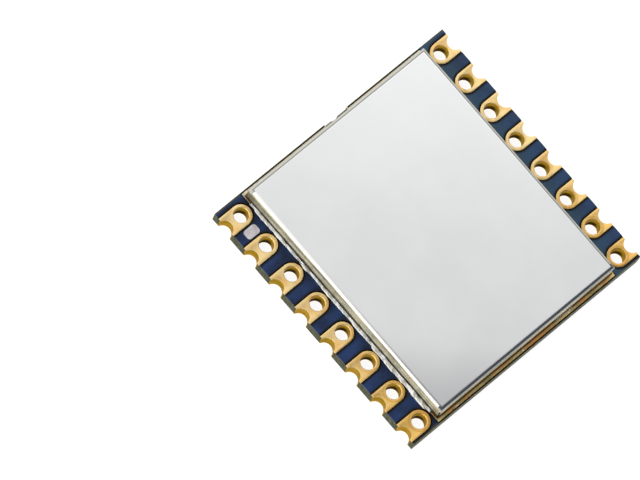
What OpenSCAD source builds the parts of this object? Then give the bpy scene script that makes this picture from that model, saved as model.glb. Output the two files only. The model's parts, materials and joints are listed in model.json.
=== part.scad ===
// Surface-mount radio module: a small circuit board with plated, castellated terminals along
// two edges and a folded metal shield can over its circuit. Millimetres, +Z up.
// The origin is the middle of the underside, on the plane that the terminals' feet stand on.
// +Y points to the end with the printed mark, and -X to the side that the mark is on.

/* [Terminals] */
// Distance between neighbouring terminals along one edge
pitch = 2; // [1.8:0.05:2.54]
// Distance between the two rows of terminal holes
hole_span = 13.8; // [13.4:0.1:16]
// How far both rows sit off the board's middle, towards +X
row_shift_x = 0.06; // [-0.08:0.01:0.08]
// How far both rows sit off the board's middle, towards +Y
row_shift_y = -0.08; // [-0.1:0.01:0.1]
// Width of a terminal's land
pad_w = 1.2; // [1.1:0.05:1.3]
// Thickness of the plated lands on either face
pad_t = 0.07; // [0.06:0.005:0.1]
// Extra length of a land on the underside, towards the middle
pad_foot = 0.18; // [0:0.01:0.2]
// Finished diameter of a terminal's hole
hole_d = 0.8; // [0.6:0.05:0.9]
// Wall thickness of the plating in holes, edge notches and slots
plating_t = 0.05; // [0.03:0.005:0.08]
// Depth of the rounded rim at each end of a terminal's hole
hole_rim = 0.04; // [0.01:0.005:0.05]
// Finished diameter of the half-round notch in the board's edge
notch_d = 0.9; // [0.7:0.05:0.95]
// How far the notch's centre lies outside the board's edge
notch_out = 0.1; // [0:0.01:0.15]

/* [Board] */
// Thickness of the bare laminate
board_t = 1; // [0.8:0.05:1.6]
// Distance from a row of holes to the board's edge, before the row's shift
edge_to_hole = 0.95; // [0.9:0.01:1.1]
// Distance from the last terminal of a row to the board's end, before the row's shift
end_margin = 0.85; // [0.75:0.01:1]

/* [Copper and mask] */
// Thickness of the copper foil under the mask
foil_t = 0.035; // [0.018:0.001:0.04]
// Thickness of the solder mask
mask_t = 0.02; // [0.01:0.001:0.02]
// Gap between a bare land and the mask around it
mask_gap = 0.06; // [0.03:0.01:0.08]
// Distance from a row of holes to the copper plane on the underside
plane_to_hole = 0.85; // [0.8:0.05:1]
// Distance from the board's ends to the copper plane
plane_end_gap = 0.1; // [0.05:0.01:0.2]
// Gap between the copper plane and a terminal's foot
plane_pad_gap = 0.25; // [0.15:0.01:0.3]
// Width of a trace on the underside
trace_w = 0.3; // [0.2:0.01:0.35]
// Gap between a trace and the copper plane
trace_gap = 0.24; // [0.15:0.01:0.26]
// Diameter of a via's land
via_land_d = 0.5; // [0.4:0.01:0.55]
// Distance between the signal vias of the row near the -Y end
via_row_pitch = 0.66; // [0.6:0.01:0.8]
// Place across the board of the first via of that row
via_row_x = -2.95; // [-3.2:0.01:-2.9]
// Place along the board of that row
via_row_y = -6.67; // [-6.8:0.01:-6.5]
// How far the first via of that row lies nearer to the -Y end
via_row_jog = 0.11; // [0:0.01:0.2]
// Distance between the signal vias of the column on the -X side
via_column_pitch = 0.95; // [0.7:0.01:1]
// Place across the board of that column
via_column_x = -4.44; // [-4.6:0.01:-4.3]
// Place along the board of the first via of that column
via_column_y = -4.6; // [-5:0.01:-4.4]
// Gap between a via's land and the copper plane
via_gap = 0.2; // [0.15:0.01:0.22]
// Drilled diameter of a via
via_drill_d = 0.3; // [0.2:0.01:0.35]
// Inner diameter of a via's plated barrel
via_bore_d = 0.18; // [0.1:0.01:0.18]

/* [Shield can] */
// Distance from a row of holes to the can's wall, before the rows' shift
hole_to_can = 0.875; // [0.86:0.005:0.9]
// How far the can sits off the board's middle, towards +X
can_shift = 0.03; // [0:0.01:0.06]
// Distance from the can's wall to the board's end
can_end_gap = 0.3; // [0.28:0.01:0.35]
// Height of the can above the ring that it stands on
can_h = 1.4; // [1.3:0.05:2.5]
// Thickness of the can's sheet
sheet_t = 0.2; // [0.15:0.01:0.2]
// Outer radius of the can's folded edges
fold_r = 0.24; // [0.22:0.01:0.4]
// Width of the open seam at each upright corner
seam_w = 0.08; // [0.05:0.01:0.12]
// Height of the closed sheet above a seam
seam_stop = 0.32; // [0.3:0.01:0.5]
// Width of a locating tab
tab_w = 1.1; // [0.8:0.05:1.2]
// Distance from a tab's tip to the plane of the feet
tab_clear = 0.12; // [0.05:0.01:0.3]
// Place across the board of the tab at the -Y end
tab_a_x = 2.74; // [2:0.01:3.5]
// Place across the board of the tab at the +Y end
tab_b_x = 0.42; // [-0.5:0.01:1.5]

/* [Ground ring and slots] */
// Width of the ring beyond the can's long walls
ring_side = 0.1; // [0.08:0.005:0.11]
// Width of the ring beyond the can's end walls
ring_end = 0.2; // [0.15:0.01:0.22]
// Width of the ring inside the can's walls
ring_in = 0.14; // [0.1:0.01:0.2]
// Finished length of a tab's slot
slot_l = 1.5; // [1.4:0.05:1.7]
// Gap between a tab and its slot on the outer side
slot_out_gap = 0.06; // [0.03:0.01:0.07]
// Gap between a tab and its slot on the inner side
slot_in_gap = 0.17; // [0.1:0.01:0.2]
// Width of a slot's land on the underside, around the plating
slot_land = 0.14; // [0.1:0.01:0.2]

/* [Solder] */
// Height of the solder against the can's long walls
fillet_h = 0.2; // [0.12:0.01:0.3]
// Distance from the ends of the can to the ends of that solder
fillet_end = 0.5; // [0.3:0.05:1]
// Thickness of the solder under a component
joint_t = 0.03; // [0.02:0.005:0.05]
// Depth of the solder's surface below the underside in the filled slot
slot_solder_z = 0.03; // [0.01:0.01:0.1]
// Height that the solder climbs in a slot
slot_solder_h = 0.6; // [0.3:0.05:0.9]
// Radius of the dip in that solder at the board's edge
dip_r = 0.42; // [0.38:0.01:0.45]
// How far the middle of that dip lies outside the board's edge
dip_out = 0.35; // [0.3:0.01:0.38]
// Width of the solder at one end of the open slot
slot_spot_w = 0.18; // [0.1:0.01:0.19]

/* [Radio chip] */
// Side of the chip's square package
chip_w = 6; // [5.8:0.05:6]
// Height of the chip's package
chip_h = 0.85; // [0.7:0.05:0.9]
// Distance between neighbouring leads
lead_pitch = 0.65; // [0.5:0.05:0.68]
// Width of a lead
lead_w = 0.3; // [0.2:0.01:0.32]
// Length of a lead's flat
lead_l = 0.45; // [0.35:0.05:0.5]
// Thickness of the chip's leads
lead_t = 0.2; // [0.1:0.01:0.25]
// Side of the chip's bare pad underneath
chip_pad = 3.6; // [3:0.1:3.7]
// Place of the chip's middle across the board
chip_x = 0.45; // [0:0.05:0.6]
// Place of the chip's middle along the board
chip_y = -0.6; // [-1:0.05:0]
// Distance of the chip's dot from both sides of its corner
dot_in = 0.7; // [0.5:0.05:1]
// Diameter of that dot
dot_d = 0.5; // [0.3:0.05:0.6]
// Depth of that dot
dot_deep = 0.05; // [0.02:0.01:0.1]
// Gap between the chip and the parts beside it
chip_gap = 0.5; // [0.3:0.05:0.55]
// Gap between the chip and the row of parts at its -Y side
row_gap = 0.9; // [0.5:0.05:1]
// Distance between neighbouring parts in that row
row_pitch = 1.3; // [0.9:0.05:1.4]
// Distance between neighbouring parts beside the chip
side_pitch = 1; // [0.8:0.05:1.1]

/* [Crystal] */
// Length of the crystal's package
crystal_l = 2.5; // [2.2:0.1:2.5]
// Width of the crystal's package
crystal_w = 2; // [1.8:0.1:2]
// Height of the crystal's ceramic base
crystal_base_h = 0.42; // [0.3:0.01:0.5]
// Height of the crystal's metal lid
crystal_lid_h = 0.2; // [0.1:0.01:0.25]
// Width of the ceramic rim around the lid
crystal_rim = 0.12; // [0.05:0.01:0.2]
// Corner radius of the lid
crystal_lid_r = 0.2; // [0.1:0.01:0.3]
// Width of a pad under the crystal
crystal_pad_w = 0.6; // [0.4:0.05:0.8]
// Length of a pad under the crystal
crystal_pad_l = 0.75; // [0.5:0.05:0.9]
// Distance from the crystal's ends to its pads
crystal_pad_in = 0.025; // [0:0.005:0.1]

/* [Antenna switch] */
// Length of the switch's body
switch_l = 2; // [1.8:0.1:2.1]
// Width of the switch's body
switch_w = 1.25; // [1.1:0.05:1.3]
// Height of the switch's body
switch_h = 0.8; // [0.6:0.05:0.85]
// Gap under the switch's body
switch_lift = 0.08; // [0.05:0.01:0.1]
// Reach of a switch lead beyond the body
switch_reach = 0.42; // [0.35:0.01:0.45]
// Width of a switch lead
switch_lead_w = 0.24; // [0.2:0.01:0.3]
// Thickness of a switch lead
switch_lead_t = 0.12; // [0.08:0.01:0.15]
// Distance between neighbouring switch leads
switch_pitch = 0.65; // [0.6:0.01:0.7]
// Length of the land under a switch lead
switch_land_l = 0.42; // [0.3:0.01:0.5]
// Length by which a switch lead's foot lies past its reach
switch_toe = 0.1; // [0.05:0.01:0.15]
// Depth of a switch lead's shoulder inside the body
switch_root = 0.15; // [0.1:0.01:0.2]
// Place of the switch's middle across the board
switch_x = 2.4; // [2.2:0.05:2.8]
// Distance from the switch's middle to the can's +Y wall
switch_in = 2.3; // [1.6:0.05:2.4]

/* [Small chip parts] */
// Length of a capacitor or resistor
small_l = 1; // [0.9:0.05:1.1]
// Width of a capacitor or resistor
small_w = 0.5; // [0.4:0.05:0.6]
// Height of a capacitor
capacitor_h = 0.5; // [0.3:0.05:0.6]
// Height of a resistor
resistor_h = 0.35; // [0.25:0.05:0.5]
// Length of an inductor
inductor_l = 1.6; // [1.4:0.05:1.7]
// Width of an inductor
inductor_w = 0.8; // [0.7:0.05:0.9]
// Height of an inductor
inductor_h = 0.8; // [0.5:0.05:0.9]
// Length of the metal end of a capacitor or resistor
small_end = 0.25; // [0.15:0.01:0.3]
// Length of the metal end of an inductor
inductor_end = 0.35; // [0.25:0.01:0.45]
// How far a part's metal ends stand proud of its body
end_skin = 0.02; // [0.01:0.005:0.04]
// How far a land reaches past the metal end that sits on it
land_over = 0.08; // [0.04:0.01:0.1]
// How far the solder stays inside the edge of its land
joint_in = 0.04; // [0.02:0.005:0.06]

/* [Antenna circuit] */
// Place across the board of the two matching inductors
match_x = -3.6; // [-3.8:0.05:-3.4]
// Distance from the can's +Y wall to the nearer matching inductor
match_in = 2.25; // [2.2:0.05:2.4]
// Distance between the matching inductors
match_pitch = 1.5; // [1.2:0.05:1.5]
// Place across the board of the series inductor
series_x = -1.7; // [-1.8:0.05:-1.5]
// Distance from the can's +Y wall to the series inductor
series_in = 1.25; // [1:0.05:1.3]
// Distance from the can's +Y wall to the supply inductor beside the chip
supply_in = 4.6; // [4.5:0.05:4.65]
// Place across the board of the two filter capacitors
filter_x = 4.8; // [4.7:0.05:5]
// Distance from the can's +Y wall to the nearer filter capacitor
filter_in = 1.45; // [1:0.05:1.5]
// Distance between the filter capacitors
filter_pitch = 1.5; // [1.4:0.05:1.6]
// Place across the board of the capacitor beside the antenna switch
block_x = 0.55; // [0.3:0.05:0.7]
// Distance from the can's +Y wall to that capacitor
block_in = 2.35; // [2:0.05:2.5]

/* [Print] */
// Thickness of the printed ink
ink_t = 0.012; // [0.008:0.001:0.014]
// Length of the mark beside the first terminal
mark_l = 0.8; // [0.6:0.05:1]
// Width of that mark
mark_w = 0.55; // [0.4:0.05:0.6]
// Corner radius of that mark
mark_r = 0.16; // [0.1:0.01:0.2]
// How far the mark sits from the row of holes, towards the board's edge
mark_out = 0.15; // [0.1:0.01:0.28]
// Width of the table on the underside
table_w = 5.38; // [4:0.1:5.6]
// Length of the table
table_l = 7.5; // [6:0.1:8]
// Number of rows in the table
table_rows = 5; // [2:1:6]
// Width of the table's first column
table_col = 2.74; // [2:0.1:3]
// Width of a printed line
line_w = 0.13; // [0.08:0.01:0.2]
// Place of the table's corner across the board
table_x = -2.77; // [-3:0.01:-2]
// Place of the table's corner along the board
table_y = -5.09; // [-5.5:0.01:-4.5]

/* [Hidden] */
// Terminals along one edge
per_side = 8;
// Smoothness of the round faces
$fn = 48;
// A small overrun that lets a cut pass through a face
over = 0.2;

board_w = hole_span + 2 * edge_to_hole;
board_l = (per_side - 1) * pitch + 2 * end_margin;
z_under = pad_t;
z_top = z_under + board_t;
z_land = z_top + pad_t;
z_seat = z_land + joint_t;
mask_face = foil_t + mask_t;
drill_r = hole_d / 2 + plating_t;
notch_r = notch_d / 2;
first_y = board_l / 2 - end_margin + row_shift_y;

can_w = hole_span - 2 * hole_to_can;
can_l = board_l - 2 * can_end_gap;
can_x = can_shift;
inner_w = can_w - 2 * sheet_t;
inner_l = can_l - 2 * sheet_t;
wall_y = can_l / 2 - sheet_t / 2;
ring_w = can_w + 2 * ring_side;
ring_l = can_l + 2 * ring_end;

slot_w = sheet_t + slot_out_gap + slot_in_gap;
slot_y = can_l / 2 + slot_out_gap - slot_w / 2;

// Isolated signal vias on the underside: the row near the -Y end, the column on the -X side, single ones
via_row = [for (k = [0:4]) [via_row_x + via_row_pitch * k, k == 0 ? via_row_y - via_row_jog : via_row_y]];
via_column = [for (k = [0:3]) [via_column_x, via_column_y + via_column_pitch * k]];
via_single = [[-3.44, -0.06], [2.64, -3.6]];
lone_vias = concat(via_row, via_column, via_single);

// Three traces on the underside, each a line through its points with a via at both ends
trace_a = [[0.64, -6.78], [0.67, -6.2], [0.67, 2.45], [-0.8, 3.92], [-0.8, 5]];
trace_b = [[4.59, -6.07], [3.94, -6.72], [1.62, -6.72], [1.26, -6.36], [1.26, 2.6], [-0.12, 3.98], [-0.12, 6.4]];
trace_c = [[1.89, -6.07], [1.89, -0.4], [2.22, 0.1]];
traces = [trace_a, trace_b, trace_c];

// Ground vias, in the copper plane itself
ground_vias = [
    [-5.5, -7.25], [-4.9, -7.25], [-3.95, -7.25], [0.05, -7.42], [1.2, -7.3],
    [-1.72, 2.75], [-0.9, 3.07], [-5.35, 4], [3.2, 4.2], [3.2, 4.75],
    [4.25, -3.65], [-2.5, 7.1], [1.9, 7.05], [2.9, 7.1]
];

// Where each part under the can sits: its middle and its turn. Those beside the chip keep their gap to
// it, and those of the antenna circuit keep their place from the can's +Y wall
chip_at = [chip_x, chip_y];
chip_end_y = chip_y - chip_w / 2;
row_y = chip_end_y - row_gap - small_l / 2;
left_x = chip_x - chip_w / 2 - chip_gap - small_l / 2;
right_x = chip_x + chip_w / 2 + chip_gap + small_l / 2;
far_y = inner_l / 2;
crystal_at = [chip_x - chip_w / 2 - chip_gap - crystal_w / 2, chip_end_y + crystal_l / 2];
switch_at = [switch_x, far_y - switch_in];
capacitors = concat(
    [for (k = [0:3]) [chip_x + (k - 1.5) * row_pitch, row_y, 90]],
    [for (s = [-1, 1]) [crystal_at[0] + s * row_pitch / 2, row_y, 90]],
    [for (k = [0:1]) [right_x, chip_y + k * side_pitch, 0]],
    [[left_x, chip_y + side_pitch, 0], [block_x, far_y - block_in, 90]],
    [for (k = [0:1]) [filter_x, far_y - filter_in - k * filter_pitch, 90]]
);
resistors = [
    [left_x, chip_y + 2 * side_pitch, 0], [right_x, chip_y + 2 * side_pitch, 0],
    [right_x, chip_y - side_pitch, 0]
];
inductors = [
    [match_x, far_y - match_in - match_pitch, 0], [match_x, far_y - match_in, 0],
    [series_x, far_y - series_in, 0],
    [chip_x + chip_w / 2 + chip_gap + inductor_w / 2, far_y - supply_in, 90]
];

// Names and places of the terminals: they run down the -X edge from +Y, then back up the +X edge
function side_of(i) = i <= per_side ? -1 : 1;
function hole_x(i) = side_of(i) * hole_span / 2 + row_shift_x;
function hole_y(i) = i <= per_side ? first_y - (i - 1) * pitch : first_y - (2 * per_side - i) * pitch;
function terminal_name(i) = str("castellated_terminal_", i < 10 ? "0" : "", i);

// A rectangle with round corners, centred
module round_rect(w, l, r) {
    square([w - 2 * r, l], center = true);
    square([w, l - 2 * r], center = true);
    for (sx = [-1, 1], sy = [-1, 1])
        translate([sx * (w / 2 - r), sy * (l / 2 - r)])
            circle(r = r);
}

// A slot with half-round ends, centred
module stadium(w, l) {
    square([w - l, l], center = true);
    for (s = [-1, 1])
        translate([s * (w - l) / 2, 0])
            circle(d = l);
}

// A line with round ends through a list of points
module line_2d(points, w) {
    for (k = [0:len(points) - 2]) {
        a = points[k];
        b = points[k + 1];
        d = b - a;
        translate(a)
            rotate(atan2(d[1], d[0]))
                translate([0, -w / 2])
                    square([norm(d), w]);
    }
    for (p = points)
        translate(p)
            circle(d = w);
}

module discs(points, d) {
    for (p = points)
        translate(p)
            circle(d = d);
}

module slab(z, t) {
    translate([0, 0, z])
        linear_extrude(t)
            children();
}

// The outline of one terminal's land. reach lengthens it inwards and grow widens it all round
module pad_2d(i, reach = 0, grow = 0) {
    s = side_of(i);
    edge_x = s * (board_w / 2 + grow);
    inner_x = hole_x(i) - s * reach;
    translate([inner_x, hole_y(i)])
        circle(d = pad_w + 2 * grow);
    translate([min(edge_x, inner_x), hole_y(i) - pad_w / 2 - grow])
        square([abs(edge_x - inner_x), pad_w + 2 * grow]);
}

module all_pads_2d(reach = 0, grow = 0) {
    for (i = [1:2 * per_side])
        pad_2d(i, reach, grow);
}

module holes_2d(r) {
    for (i = [1:2 * per_side])
        translate([hole_x(i), hole_y(i)])
            circle(r = r);
}

module notches_2d(r) {
    for (i = [1:2 * per_side])
        translate([side_of(i) * (board_w / 2 + notch_out), hole_y(i)])
            circle(r = r);
}

module board_2d() {
    square([board_w, board_l], center = true);
}

// The closed slot at the -Y end, and the slot at the +Y end that opens on the board's edge
module slot_a_2d(grow = 0) {
    translate([tab_a_x, -slot_y])
        stadium(slot_l + 2 * grow, slot_w + 2 * grow);
}

module slot_b_2d(grow = 0) {
    translate([tab_b_x, slot_y])
        stadium(slot_l + 2 * grow, slot_w + 2 * grow);
    translate([tab_b_x - slot_l / 2 - grow, slot_y])
        square([slot_l + 2 * grow, board_l / 2 - slot_y + over]);
}

module slots_2d(grow = 0) {
    slot_a_2d(grow);
    slot_b_2d(grow);
}

module slot_lands_2d(grow = 0) {
    slots_2d(plating_t + slot_land + grow);
}

// The bare copper ring that the can stands on
module ring_2d(grow = 0) {
    translate([can_x, 0])
        difference() {
            square([ring_w + 2 * grow, ring_l + 2 * grow], center = true);
            square([inner_w - 2 * (ring_in + grow), inner_l - 2 * (ring_in + grow)], center = true);
        }
}

// Copper on the underside. grow is how far the mask laps past its edges
module traces_2d(grow = 0) {
    for (t = traces) {
        line_2d(t, trace_w + 2 * grow);
        discs([t[0], t[len(t) - 1]], via_land_d + 2 * grow);
    }
}

module plane_2d(grow = 0) {
    w = hole_span - 2 * plane_to_hole + 2 * grow;
    difference() {
        translate([row_shift_x, 0])
            square([w, board_l - 2 * plane_end_gap + 2 * grow], center = true);
        all_pads_2d(pad_foot, plane_pad_gap - grow);
        for (t = traces) {
            line_2d(t, trace_w + 2 * (trace_gap - grow));
            discs([t[0], t[len(t) - 1]], via_land_d + 2 * (via_gap - grow));
        }
        discs(lone_vias, via_land_d + 2 * (via_gap - grow));
    }
}

module circuit_board() {
    color("#6f7350")
        slab(z_under, board_t)
            difference() {
                board_2d();
                holes_2d(drill_r);
                notches_2d(notch_r + plating_t);
                slots_2d(plating_t);
                discs(via_places, via_drill_d);
            }
}

via_places = concat(lone_vias, ground_vias, [for (t = traces, k = [0, len(t) - 1]) t[k]]);

module top_solder_mask() {
    color("#1c4576")
        slab(z_top, mask_face)
            difference() {
                board_2d();
                all_pads_2d(0, mask_gap);
                ring_2d(mask_gap);
                component_lands_2d(mask_gap);
                notches_2d(notch_r + plating_t);
                slots_2d(plating_t);
            }
}

// The mask is thin over bare laminate and stands higher where it covers copper
module bottom_solder_mask() {
    color("#0f5876")
        difference() {
            union() {
                slab(z_under - mask_t, mask_t)
                    board_2d();
                slab(z_under - mask_face, mask_face)
                    difference() {
                        raised_2d();
                        discs(via_places, via_bore_d);
                    }
            }
            slab(z_under - foil_t, foil_t)
                copper_2d();
            slab(-over, z_under + 2 * over) {
                all_pads_2d(pad_foot, mask_gap);
                notches_2d(notch_r + plating_t);
                slot_lands_2d(mask_gap);
            }
        }
}

// Where the mask stands higher, over copper
module raised_2d() {
    plane_2d(mask_t);
    traces_2d(mask_t);
    discs(lone_vias, via_land_d + 2 * mask_t);
}

module copper_2d() {
    difference() {
        plane_2d();
        slot_lands_2d();
    }
    traces_2d();
    discs(lone_vias, via_land_d);
}

module ground_plane() {
    color("#b87840")
        slab(z_under - foil_t, foil_t)
            difference() {
                plane_2d();
                slot_lands_2d();
                discs(ground_vias, via_drill_d);
            }
}

// A plated via: its land on the underside and its barrel up through the board
module via(at, land_d) {
    translate([at[0], at[1], z_under - foil_t])
        difference() {
            union() {
                cylinder(d = land_d, h = foil_t);
                cylinder(d = via_drill_d, h = foil_t + board_t);
            }
            translate([0, 0, foil_t])
                cylinder(d = via_bore_d, h = board_t + over);
        }
}

module signal_traces() {
    color("#c08444")
        for (t = traces) {
            ends = [t[0], t[len(t) - 1]];
            slab(z_under - foil_t, foil_t) {
                line_2d(t, trace_w);
                discs(ends, via_land_d);
            }
            for (e = ends)
                via(e, via_land_d);
        }
}

module signal_vias() {
    color("#c08444")
        for (p = lone_vias)
            via(p, via_land_d);
}

module ground_vias() {
    color("#b87840")
        for (p = ground_vias)
            via(p, via_drill_d);
}

// The ring under the can, with the plated slots that its tabs go through and their lands below
module ground_ring() {
    color("#d9a94e")
        difference() {
            union() {
                slab(z_top, pad_t)
                    intersection() {
                        union() {
                            ring_2d();
                            slots_2d(plating_t);
                        }
                        board_2d();
                    }
                slab(0, z_land)
                    intersection() {
                        slots_2d(plating_t);
                        board_2d();
                    }
                slab(0, pad_t)
                    intersection() {
                        slot_lands_2d();
                        board_2d();
                    }
            }
            slab(-over, z_land + 2 * over)
                slots_2d();
        }
}

// One plated terminal: a land on each face, the hole between them and the notch in the edge
module terminal(i) {
    color("#dfb057")
        difference() {
            union() {
                slab(z_top, pad_t)
                    pad_2d(i);
                slab(0, pad_t)
                    pad_2d(i, pad_foot);
                translate([hole_x(i), hole_y(i), 0])
                    cylinder(r = drill_r, h = z_land);
                intersection() {
                    notch_cylinder(i, notch_r + plating_t, 0, z_land);
                    slab(0, z_land)
                        board_2d();
                }
            }
            translate([hole_x(i), hole_y(i), -over])
                cylinder(d = hole_d, h = z_land + 2 * over);
            translate([hole_x(i), hole_y(i), z_land - hole_rim])
                cylinder(d1 = hole_d, d2 = hole_d + 2 * hole_rim, h = hole_rim);
            translate([hole_x(i), hole_y(i), 0])
                cylinder(d1 = hole_d + 2 * hole_rim, d2 = hole_d, h = hole_rim);
            notch_cylinder(i, notch_r, -over, z_land + 2 * over);
        }
}

module notch_cylinder(i, r, z, h) {
    translate([side_of(i) * (board_w / 2 + notch_out), hole_y(i), z])
        cylinder(r = r, h = h);
}

// Lands of a two-ended part, then of every part under the can
module pair_2d(l, w, end, grow) {
    reach = end + 2 * land_over;
    for (s = [-1, 1])
        translate([s * (l - end) / 2, 0])
            square([reach + 2 * grow, w + land_over + 2 * grow], center = true);
}

module at_place(p) {
    translate([p[0], p[1]])
        rotate(p[2])
            children();
}

module component_lands_2d(grow = 0) {
    for (p = capacitors)
        at_place(p)
            pair_2d(small_l, small_w, small_end, grow);
    for (p = resistors)
        at_place(p)
            pair_2d(small_l, small_w, small_end, grow);
    for (p = inductors)
        at_place(p)
            pair_2d(inductor_l, inductor_w, inductor_end, grow);
    translate(chip_at) {
        square(chip_pad + 2 * grow, center = true);
        chip_leads_2d(land_over, grow);
    }
    translate(crystal_at)
        crystal_pads_2d(grow);
    translate(switch_at)
        for (s = [-1, 1], k = [-1:1])
            translate([k * switch_pitch, s * (switch_w / 2 + switch_reach - switch_toe)])
                square([switch_lead_w + land_over + 2 * grow, switch_land_l + 2 * grow], center = true);
}

// The seven leads along each side of the chip
module chip_leads_2d(out = 0, grow = 0) {
    for (turn = [0:90:270], k = [-3:3])
        rotate(turn)
            translate([k * lead_pitch - lead_w / 2 - grow, chip_w / 2 - lead_l - grow])
                square([lead_w + 2 * grow, lead_l + out + 2 * grow]);
}

module crystal_pads_2d(grow = 0) {
    for (sx = [-1, 1], sy = [-1, 1])
        translate([
            sx * (crystal_w - crystal_pad_w) / 2,
            sy * ((crystal_l - crystal_pad_l) / 2 - crystal_pad_in)
        ])
            square([crystal_pad_w + 2 * grow, crystal_pad_l + 2 * grow], center = true);
}

module component_lands() {
    color("#d9a94e")
        slab(z_top, pad_t)
            component_lands_2d();
}

module component_solder() {
    color("#c9ccd0")
        slab(z_land, joint_t)
            component_lands_2d(-joint_in);
}

module radio_chip() {
    color("#25262a")
        translate([chip_at[0], chip_at[1], z_seat])
            difference() {
                translate([-chip_w / 2, -chip_w / 2, 0])
                    cube([chip_w, chip_w, chip_h]);
                slab(-over, over + lead_t) {
                    chip_leads_2d();
                    square(chip_pad, center = true);
                }
                translate([-chip_w / 2 + dot_in, chip_w / 2 - dot_in, chip_h - dot_deep])
                    cylinder(d = dot_d, h = over);
            }
}

module chip_leads() {
    color("#c6c8cc")
        translate([chip_at[0], chip_at[1], 0])
            slab(z_seat, lead_t) {
                chip_leads_2d();
                square(chip_pad, center = true);
            }
}

module crystal_base() {
    color("#d8d2c2")
        translate([crystal_at[0], crystal_at[1], 0])
            slab(z_seat, crystal_base_h)
                square([crystal_w, crystal_l], center = true);
}

module crystal_lid() {
    color("#c9a860")
        translate([crystal_at[0], crystal_at[1], 0])
            slab(z_seat + crystal_base_h, crystal_lid_h)
                round_rect(crystal_w - 2 * crystal_rim, crystal_l - 2 * crystal_rim, crystal_lid_r);
}

module antenna_switch() {
    color("#25262a")
        translate([switch_at[0], switch_at[1], z_seat + switch_lift])
            difference() {
                translate([-switch_l / 2, -switch_w / 2, 0])
                    cube([switch_l, switch_w, switch_h]);
                for (s = [-1, 1], k = [-1:1])
                    switch_lead_slot(s, k);
            }
}

// The shoulder of each lead is set into the body's side
module switch_lead_slot(s, k) {
    translate([k * switch_pitch, s * switch_w / 2, switch_h / 2 - switch_lead_t / 2])
        cube([switch_lead_w, 2 * switch_root, switch_lead_t], center = true);
}

module switch_leads() {
    top = switch_lift + switch_h / 2;
    t = switch_lead_t;
    knee = switch_reach * 0.5;
    color("#c6c8cc")
        for (s = [-1, 1], k = [-1:1])
            translate([switch_at[0] + k * switch_pitch, switch_at[1], z_seat])
                rotate(s > 0 ? 0 : 180)
                    translate([-switch_lead_w / 2, switch_w / 2, 0])
                        rotate([90, 0, 90])
                            linear_extrude(switch_lead_w)
                                polygon([
                                    [-switch_root, top - t], [knee - t, top - t], [knee - t, 0],
                                    [switch_reach + switch_toe, 0], [switch_reach + switch_toe, t], [knee, t],
                                    [knee, top], [-switch_root, top]
                                ]);
}

// The body of a two-ended part, and the metal ends that wrap it
module two_end_body(l, w, h, end) {
    translate([0, 0, h / 2]) {
        cube([l - 2 * end, w - 2 * end_skin, h - 2 * end_skin], center = true);
    }
}

module two_ends(l, w, h, end) {
    for (s = [-1, 1])
        translate([s * (l - end) / 2, 0, h / 2])
            cube([end, w, h], center = true);
}

module seat(p) {
    translate([p[0], p[1], z_seat])
        rotate(p[2])
            children();
}

module capacitor_bodies() {
    color("#a88a63")
        for (p = capacitors)
            seat(p)
                two_end_body(small_l, small_w, capacitor_h, small_end);
}

module capacitor_ends() {
    color("#d4d6d8")
        for (p = capacitors)
            seat(p)
                two_ends(small_l, small_w, capacitor_h, small_end);
}

module resistor_bodies() {
    color("#1e1f22")
        for (p = resistors)
            seat(p)
                two_end_body(small_l, small_w, resistor_h, small_end);
}

module resistor_ends() {
    color("#d4d6d8")
        for (p = resistors)
            seat(p)
                two_ends(small_l, small_w, resistor_h, small_end);
}

module inductor_bodies() {
    color("#e4e0d6")
        for (p = inductors)
            seat(p)
                two_end_body(inductor_l, inductor_w, inductor_h, inductor_end);
}

module inductor_ends() {
    color("#d4d6d8")
        for (p = inductors)
            seat(p)
                two_ends(inductor_l, inductor_w, inductor_h, inductor_end);
}

// One section of the folded can, w wide and h high, with both upper edges rounded by r
module fold_section(w, h, r) {
    translate([-w / 2, 0])
        square([w, h - r]);
    translate([-w / 2 + r, 0])
        square([w - 2 * r, h]);
    for (s = [-1, 1])
        translate([s * (w / 2 - r), h - r])
            circle(r = r);
}

// The block that is rounded along both directions, from its two sections
module fold_block(w, l, h, r) {
    intersection() {
        rotate([90, 0, 0])
            translate([0, 0, -l / 2])
                linear_extrude(l)
                    fold_section(w, h, r);
        rotate([90, 0, 90])
            translate([0, 0, -w / 2])
                linear_extrude(w)
                    fold_section(l, h, r);
    }
}

module shield_can() {
    tab_h = z_land - tab_clear;
    color("#dcdcda") {
        translate([can_x, 0, z_land])
            difference() {
                fold_block(can_w, can_l, can_h, fold_r);
                translate([0, 0, -over])
                    fold_block(inner_w, inner_l, can_h - sheet_t + over, fold_r - sheet_t);
                for (sx = [-1, 1], sy = [-1, 1])
                    translate([sx * can_w / 2, sy * can_l / 2, 0])
                        rotate(sx * sy * 45)
                            translate([-sheet_t * 2, -seam_w / 2, -over])
                                cube([sheet_t * 4, seam_w, can_h - seam_stop + over]);
            }
        for (t = [[tab_a_x, -1], [tab_b_x, 1]])
            translate([t[0] - tab_w / 2, t[1] * wall_y - sheet_t / 2, tab_clear])
                cube([tab_w, sheet_t, tab_h]);
    }
}

// Solder drawn up between the ring and the can's long walls
module can_solder() {
    l = can_l - 2 * fillet_end;
    color("#d5d8da")
        for (s = [-1, 1])
            translate([can_x + s * can_w / 2, 0, z_land])
                rotate([90, 0, 0])
                    translate([0, 0, -l / 2])
                        linear_extrude(l)
                            difference() {
                                translate([s > 0 ? 0 : -ring_side, 0])
                                    square([ring_side, fillet_h]);
                                translate([s * fillet_bulge_x, fillet_h + fillet_bulge_h])
                                    circle(r = fillet_r);
                            }
}

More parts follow.
